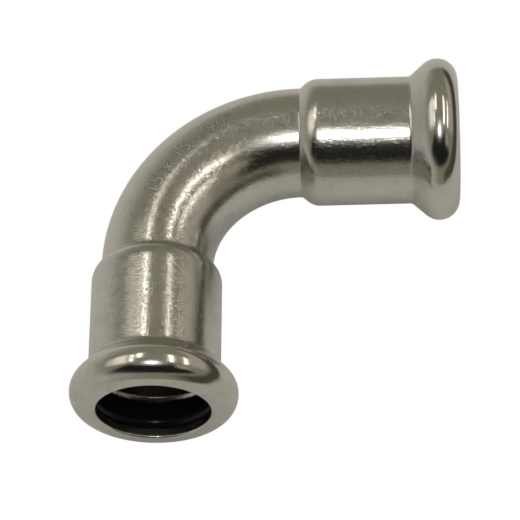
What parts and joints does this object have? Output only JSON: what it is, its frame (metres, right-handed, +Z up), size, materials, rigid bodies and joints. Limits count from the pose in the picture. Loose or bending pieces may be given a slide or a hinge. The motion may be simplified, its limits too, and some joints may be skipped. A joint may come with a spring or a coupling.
{
  "type": "pipe elbow",
  "caption": "Right-angle press-fit pipe elbow: one bent, expanded stainless tube with a seal ring captive in the bead at each socket mouth.",
  "frame": {"origin": "on the axis of socket A, at the inner end of its straight bore, where the pipe's end is stopped", "axes": "the bend lies in the XY plane; +X points out of socket A, -Y points out of socket B, and +Z is up when the elbow lies flat"},
  "size_m": [0.0546, 0.0546, 0.0232],
  "materials": {
    "stainless": "pickled and lightly polished stainless steel, warm grey, with a fine grain",
    "seal": "smooth moulded black rubber with a slight gloss"
  },
  "bodies": {
    "root": {"elbow_body": "stainless", "seal_ring_a": "seal", "seal_ring_b": "seal"}
  },
  "joints": []
}
